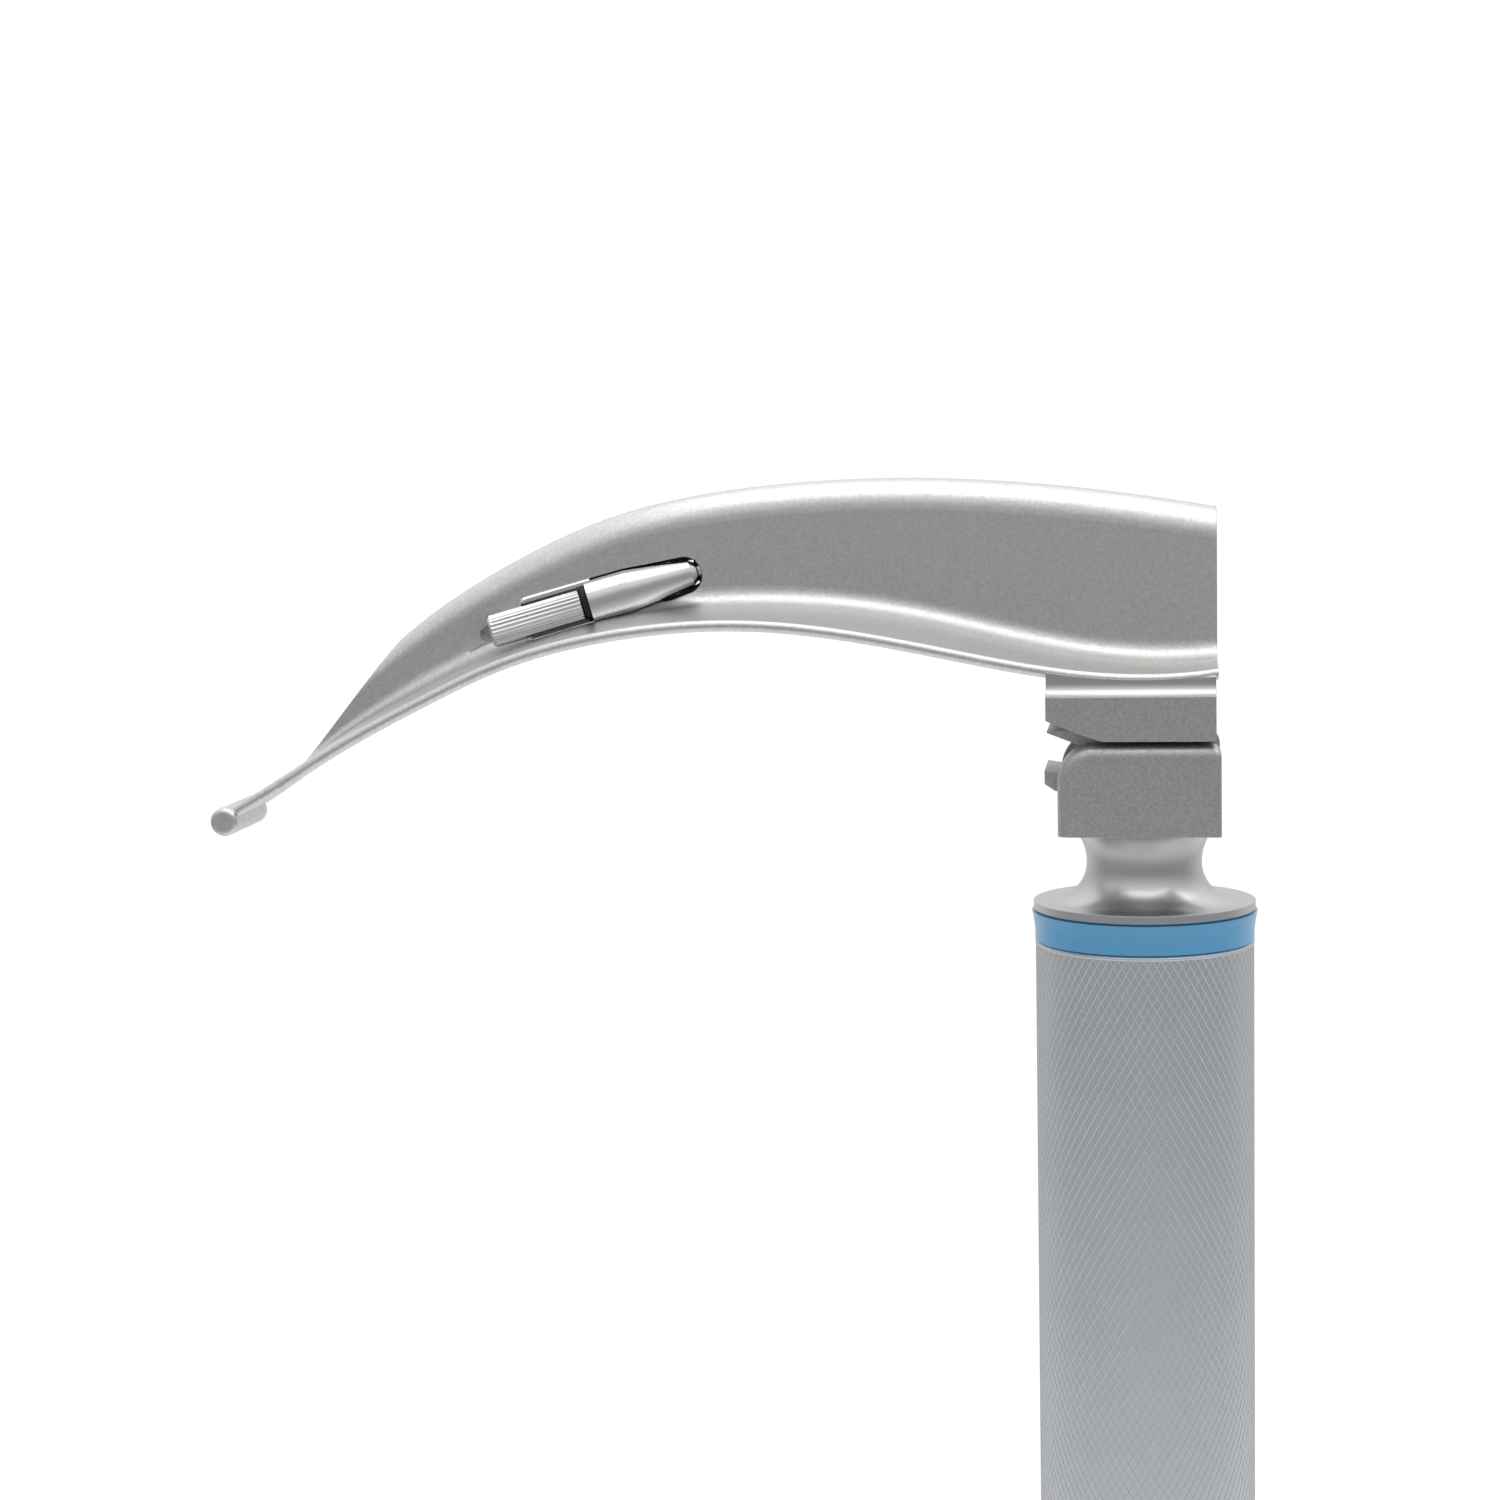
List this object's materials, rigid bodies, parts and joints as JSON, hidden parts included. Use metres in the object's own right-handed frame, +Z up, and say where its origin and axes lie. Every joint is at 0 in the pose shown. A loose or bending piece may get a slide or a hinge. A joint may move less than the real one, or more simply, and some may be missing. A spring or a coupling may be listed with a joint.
{
  "type": "laryngoscope",
  "caption": "Hook-on laryngoscope: curved blade with a screw-in lamp, folding on a knurled battery handle with a blue colour ring.",
  "frame": {"origin": "centre of the base cap's underside, on the handle's axis", "axes": "+Z up the handle, -X along the blade to its tip, -Y the blade's open side with the lamp"},
  "size_m": [0.1386, 0.0294, 0.1865],
  "materials": {
    "satin_steel": "satin",
    "knurled_steel": "fine diamond knurl, satin",
    "bright_steel": "polished",
    "spring_steel": "drawn wire",
    "blue_ring": "smooth",
    "white_insulator": "moulded",
    "black_insulator": "fused",
    "black_rubber": "moulded",
    "brass": "turned",
    "cell_can": "drawn",
    "cell_wrap": "printed film, left plain",
    "cell_metal": "nickel plated",
    "lamp_glass": "clear",
    "tungsten": "drawn",
    "solder": "solder",
    "wire_cover": "insulated wire"
  },
  "bodies": {
    "handle": {"battery_tube": "knurled_steel", "cell_1_base": "cell_metal", "cell_1_can": "cell_can", "cell_1_wrap": "cell_wrap", "cell_1_terminal": "cell_metal", "cell_2_base": "cell_metal", "cell_2_can": "cell_can", "cell_2_wrap": "cell_wrap", "cell_2_terminal": "cell_metal", "colour_ring": "blue_ring", "handle_head": "satin_steel", "hinge_pin": "bright_steel", "contact_bush": "white_insulator", "lower_contact": "brass", "bush_nut": "brass", "plunger_spring": "spring_steel"},
    "plunger": {"contact_plunger": "brass"},
    "cap_seal": {"cap_ring": "black_rubber"},
    "cap": {"base_cap": "satin_steel", "cap_contact_disc": "brass", "cell_spring": "spring_steel"},
    "blade": {"blade_shell": "satin_steel", "heel_block": "satin_steel", "stud_bush": "white_insulator", "contact_stud": "brass", "detent_spring": "spring_steel", "access_plug": "brass", "lamp_socket": "bright_steel", "socket_insulator": "white_insulator", "socket_contact": "brass", "wire_conduit": "satin_steel", "lamp_wire": "wire_cover"},
    "ball_near": {"detent_ball_near": "bright_steel"},
    "ball_far": {"detent_ball_far": "bright_steel"},
    "lamp_seal": {"bulb_seal": "black_rubber"},
    "lamp": {"bulb_sleeve": "bright_steel", "bulb_shank": "brass", "bulb_glass": "lamp_glass", "bulb_filament": "tungsten", "bulb_bead": "black_insulator", "bulb_tip": "solder"}
  },
  "joints": [
    {"name": "blade_fold", "type": "hinge", "parent": "handle", "child": "blade", "pos_m": [-0.0069, 0, 0.1495], "axis": [0, -1, 0], "range_deg": [0, 81]},
    {"name": "plunger_slide", "type": "slide", "parent": "handle", "child": "plunger", "axis": [0, 0, 1], "range_m": [0, 0.0012], "deforming": ["plunger_spring"]},
    {"name": "cap_slide", "type": "slide", "parent": "handle", "child": "cap_seal", "axis": [0, 0, -1], "range_m": [0, 0.00501]},
    {"name": "cap_turn", "type": "hinge", "parent": "cap_seal", "child": "cap", "pos_m": [0, 0, 0], "axis": [0, 0, -1], "range_deg": [0, 1800]},
    {"name": "ball_near_press", "type": "slide", "parent": "blade", "child": "ball_near", "axis": [0, 1, 0], "range_m": [0, 0.00045], "stiffness_N_per_m": 300, "springref_m": -0.002},
    {"name": "ball_far_press", "type": "slide", "parent": "blade", "child": "ball_far", "axis": [0, -1, 0], "range_m": [0, 0.00045], "stiffness_N_per_m": 300, "springref_m": -0.002},
    {"name": "lamp_slide", "type": "slide", "parent": "blade", "child": "lamp_seal", "axis": [-0.9473, -0.1841, -0.2622], "range_m": [0, 0.0035]},
    {"name": "lamp_turn", "type": "hinge", "parent": "lamp_seal", "child": "lamp", "pos_m": [-0.07357, 0.0024, 0.1706], "axis": [-0.9473, -0.1841, -0.2622], "range_deg": [0, 2530]}
  ],
  "couplings": [
    {"joint": "plunger_slide", "follows": "blade_fold", "m_per_rad": 0.00084798},
    {"joint": "cap_slide", "follows": "cap_turn", "m_per_rad": 0.00015915},
    {"joint": "lamp_turn", "follows": "lamp_slide", "rad_per_m": 12566}
  ]
}
